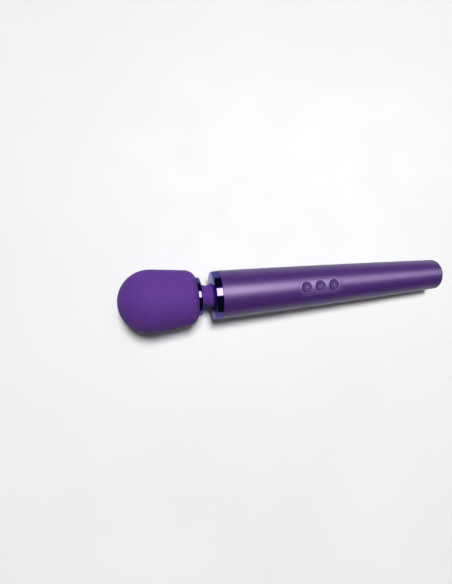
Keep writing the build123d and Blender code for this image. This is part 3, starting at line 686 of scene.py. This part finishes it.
def stroke(path, width):
    """The outline of a line with round ends."""
    sides = ([], [])
    for k, here in enumerate(path):
        run = Vector(path[min(k + 1, len(path) - 1)]) - Vector(path[max(k - 1, 0)])
        across = Vector((run.y, -run.x)).normalized() * width / 2
        sides[0].append(Vector(here) + across)
        sides[1].append(Vector(here) - across)

    def cap(centre, start):
        turn = math.atan2(start.y - centre[1], start.x - centre[0])
        return [
            (centre[0] + width / 2 * math.cos(turn + math.pi * k / 8),
             centre[1] + width / 2 * math.sin(turn + math.pi * k / 8)) for k in range(1, 8)
        ]

    out = [tuple(p) for p in sides[0]] + cap(path[-1], sides[0][-1])
    return out + [tuple(p) for p in reversed(sides[1])] + cap(path[0], sides[1][0])


def cross(reach, width):
    """The outline of a plus sign with round ends."""
    out = []
    for quarter in range(4):
        turn = math.pi / 2 * quarter
        arm = [(reach - width / 2 + width / 2 * math.cos(a), width / 2 * math.sin(a))
               for a in (math.pi * k / 8 - math.pi / 2 for k in range(9))]
        for px, py in [*arm, (width / 2, width / 2)]:
            out.append((px * math.cos(turn) - py * math.sin(turn),
                        px * math.sin(turn) + py * math.cos(turn)))
    return out


MARK_REACH = 2.3
DISH = 0.1
CAP_HEIGHT, FLANGE, FLANGE_DEPTH = 4.0, 0.9, 4.8
wave = [(t * MARK_REACH / 12, 1.2 * math.sin(t * math.pi / 12)) for t in range(-12, 13)]
marks = {
    "plus": cross(MARK_REACH, 0.8),
    "pattern": stroke(wave, 0.7),
    "minus": stroke([(0, -2.0), (0, 0), (0, 2.0)], 0.8),
}
for name, x in BUTTON_X.items():
    top = handle_radius(x) - 0.1
    dish = [(BUTTON_RADIUS * k / 8, -DISH * (1 - (k / 8) ** 2)) for k in range(7)]
    profile = [(r, top + z) for r, z in dish]
    profile += [(z, r) for r, z in rounded(
        [(top - 0.02, BUTTON_RADIUS - 0.95, 0), (top, BUTTON_RADIUS, 0.7),
         (top - CAP_HEIGHT, BUTTON_RADIUS, 0)], steps=10
    )]
    profile += [(BUTTON_RADIUS + FLANGE, top - CAP_HEIGHT),
                (BUTTON_RADIUS + FLANGE, top - FLANGE_DEPTH), (2.0, top - FLANGE_DEPTH)]
    button = upright(f"{name}_key_cap", x, profile, key_finish, "key_plastic")
    mark = plate(f"{name}_mark", marks[name], x, top - DISH, icon_ink, "pearl_panel")
    for made in (button, mark):
        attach(made, f"{name}_key")
    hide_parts(f"{name}_button")


# ---- floor, light, camera -----------------------------------------------------------------------
FLOOR_RADIUS = 4
FLOOR_SIDES = 64
turns = [2 * math.pi * k / FLOOR_SIDES for k in range(FLOOR_SIDES)]
rim = [(FLOOR_RADIUS * math.cos(t), FLOOR_RADIUS * math.sin(t), 0) for t in turns]
floor_mesh = bpy.data.meshes.new("floor")
floor_mesh.from_pydata(rim, [], [tuple(range(FLOOR_SIDES))])
floor_mesh.materials.append(material(
    "pale_floor", ((0.80, 0.80, 0.80), (0.83, 0.83, 0.83)), 60, (0.55, 0.65)
))
floor = bpy.data.objects.new("floor", floor_mesh)
bpy.context.scene.collection.objects.link(floor)


def lamp(data, place, target, lights):
    """A lamp that either lights the surfaces or is only seen mirrored in them."""
    made = bpy.data.objects.new(data.name, data)
    made.location = place
    made.rotation_euler = (Vector(target) - Vector(place)).to_track_quat("-Z", "Y").to_euler()
    made.visible_glossy = not lights
    made.visible_diffuse = lights
    bpy.context.scene.collection.objects.link(made)


def softbox(name, size, place, target, watts):
    """A panel of light that is only seen mirrored."""
    data = bpy.data.lights.new(name, "AREA")
    data.shape = "RECTANGLE"
    data.size, data.size_y = size
    data.energy = watts
    lamp(data, place, target, lights=False)


softbox("long_softbox", (2.2, 0.72), (0.70, 0.30, 1.15), (0.70, 0.10, 0), 34)
softbox("near_softbox", (0.60, 0.68), (0.17, 0.30, 1.10), (0.17, 0.10, 0), 9)
key = bpy.data.lights.new("key", "SUN")  # so the floor stays evenly lit to the horizon
key.angle = 0.27
key.energy = 3.4
lamp(key, (0.02, 0.38, 1.06), (-0.02, 0, 0), lights=True)

# Mirrored and scattered rays meet a dim room, brighter from the horizon down; the camera sees it pale.
world = bpy.data.worlds.new("studio")
bpy.context.scene.world = world
world.use_nodes = True
world_nodes, world_link = world.node_tree.nodes, world.node_tree.links.new
where = world_nodes.new("ShaderNodeTexCoord")
parts = world_nodes.new("ShaderNodeSeparateXYZ")
fade = world_nodes.new("ShaderNodeValToRGB")
fade.color_ramp.elements[0].position = 0.02
fade.color_ramp.elements[0].color = (0.10, 0.10, 0.105, 1)
fade.color_ramp.elements[1].position = 0.16
fade.color_ramp.elements[1].color = (0.03, 0.03, 0.032, 1)
world_link(where.outputs["Generated"], parts.inputs["Vector"])
world_link(parts.outputs["Z"], fade.inputs["Fac"])
world_link(fade.outputs["Color"], world_nodes["Background"].inputs["Color"])
backdrop = world_nodes.new("ShaderNodeBackground")
backdrop.inputs["Color"].default_value = (0.80, 0.80, 0.80, 1)
rays = world_nodes.new("ShaderNodeLightPath")
either = world_nodes.new("ShaderNodeMixShader")
world_link(rays.outputs["Is Camera Ray"], either.inputs["Fac"])
world_link(world_nodes["Background"].outputs["Background"], either.inputs[1])
world_link(backdrop.outputs["Background"], either.inputs[2])
world_link(either.outputs["Shader"], world_nodes["World Output"].inputs["Surface"])
bpy.context.scene.view_settings.view_transform = "Standard"

camera_data = bpy.data.cameras.new("camera")
camera_data.sensor_fit = "HORIZONTAL"
camera_data.lens = 32.48
CAMERA_PLACE = (-0.1267, 0.0153, 0.42)
camera = bpy.data.objects.new("camera", camera_data)
bpy.context.scene.collection.objects.link(camera)
yaw, pitch, roll = -0.1565, -0.0334, -0.0881
camera.matrix_world = (
    Matrix.Translation(CAMERA_PLACE)
    @ Matrix.Rotation(yaw, 4, "Y") @ Matrix.Rotation(pitch, 4, "X") @ Matrix.Rotation(roll, 4, "Z")
)
bpy.context.scene.camera = camera
